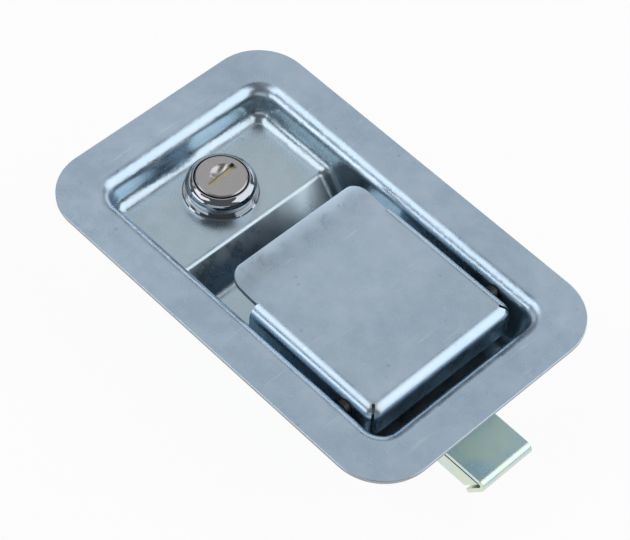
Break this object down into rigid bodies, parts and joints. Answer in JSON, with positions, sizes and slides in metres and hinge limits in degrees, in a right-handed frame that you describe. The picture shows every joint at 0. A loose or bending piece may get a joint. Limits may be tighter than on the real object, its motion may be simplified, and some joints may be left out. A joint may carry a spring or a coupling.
{
  "type": "paddle latch",
  "caption": "Flush rectangular latch: drawn sheet pan with a lift paddle, a key lock on a raised shelf and a ramped spring bolt at one end.",
  "frame": {"origin": "centre of the flange's back face, which seats on the door", "axes": "+X along the latch towards the bolt, +Z out of the door's face, +Y across the paddle"},
  "size_m": [0.1466, 0.089, 0.0339],
  "materials": {
    "zinc_pan": "satin bright zinc plate, faint blotches",
    "zinc_paddle": "satin bright zinc plate",
    "zinc_bolt": "zinc plate with a yellow-green tint",
    "zinc_inner": "plain zinc plate",
    "rivet_steel": "bright zinc plate",
    "spring_steel": "drawn wire",
    "lock_chrome": "polished chrome",
    "plug_nickel": "satin nickel",
    "brass": "dull brass"
  },
  "bodies": {
    "pan": {"mounting_pan": "zinc_pan", "pivot_pin": "rivet_steel", "pin_clip": "spring_steel", "pin_washers": "rivet_steel", "bolt_guide": "zinc_inner", "guide_rivets": "rivet_steel", "bolt_spring": "spring_steel", "lock_housing": "lock_chrome", "lock_washer": "zinc_inner", "lock_nut": "zinc_inner"},
    "paddle": {"paddle": "zinc_paddle", "paddle_lever": "zinc_inner", "paddle_spring": "spring_steel"},
    "bolt": {"bolt_face_plate": "zinc_bolt", "bolt_channel": "zinc_bolt", "bolt_spacers": "zinc_inner", "bolt_rivets": "rivet_steel"},
    "plug": {"lock_plug": "plug_nickel", "wafer_tumblers": "brass", "lock_cam": "zinc_inner", "cam_washer": "spring_steel", "cam_screw": "rivet_steel"},
    "shutter": {"dust_shutter": "brass"}
  },
  "joints": [
    {"name": "paddle_lift", "type": "hinge", "parent": "pan", "child": "paddle", "pos_m": [0.04, 0, -0.0038], "axis": [0, 1, 0], "range_deg": [0, 35], "stiffness_Nm_per_rad": 0.14, "springref_deg": -54.43, "deforming": ["paddle_spring"]},
    {"name": "bolt_slide", "type": "slide", "parent": "pan", "child": "bolt", "axis": [-1, 0, 0], "range_m": [0, 0.0115], "deforming": ["bolt_spring"]},
    {"name": "key_turn", "type": "hinge", "parent": "pan", "child": "plug", "pos_m": [-0.0396, 0, -0.002], "axis": [0, 0, -1], "range_deg": [0, 90]},
    {"name": "shutter_swing", "type": "hinge", "parent": "plug", "child": "shutter", "pos_m": [-0.03886, 0.00047, -0.0035], "axis": [0.0872, -0.9962, 0], "range_deg": [0, 80], "stiffness_Nm_per_rad": 0.00002, "springref_deg": -28.65}
  ],
  "couplings": [
    {"joint": "bolt_slide", "follows": "paddle_lift", "m_per_rad": 0.0188}
  ]
}
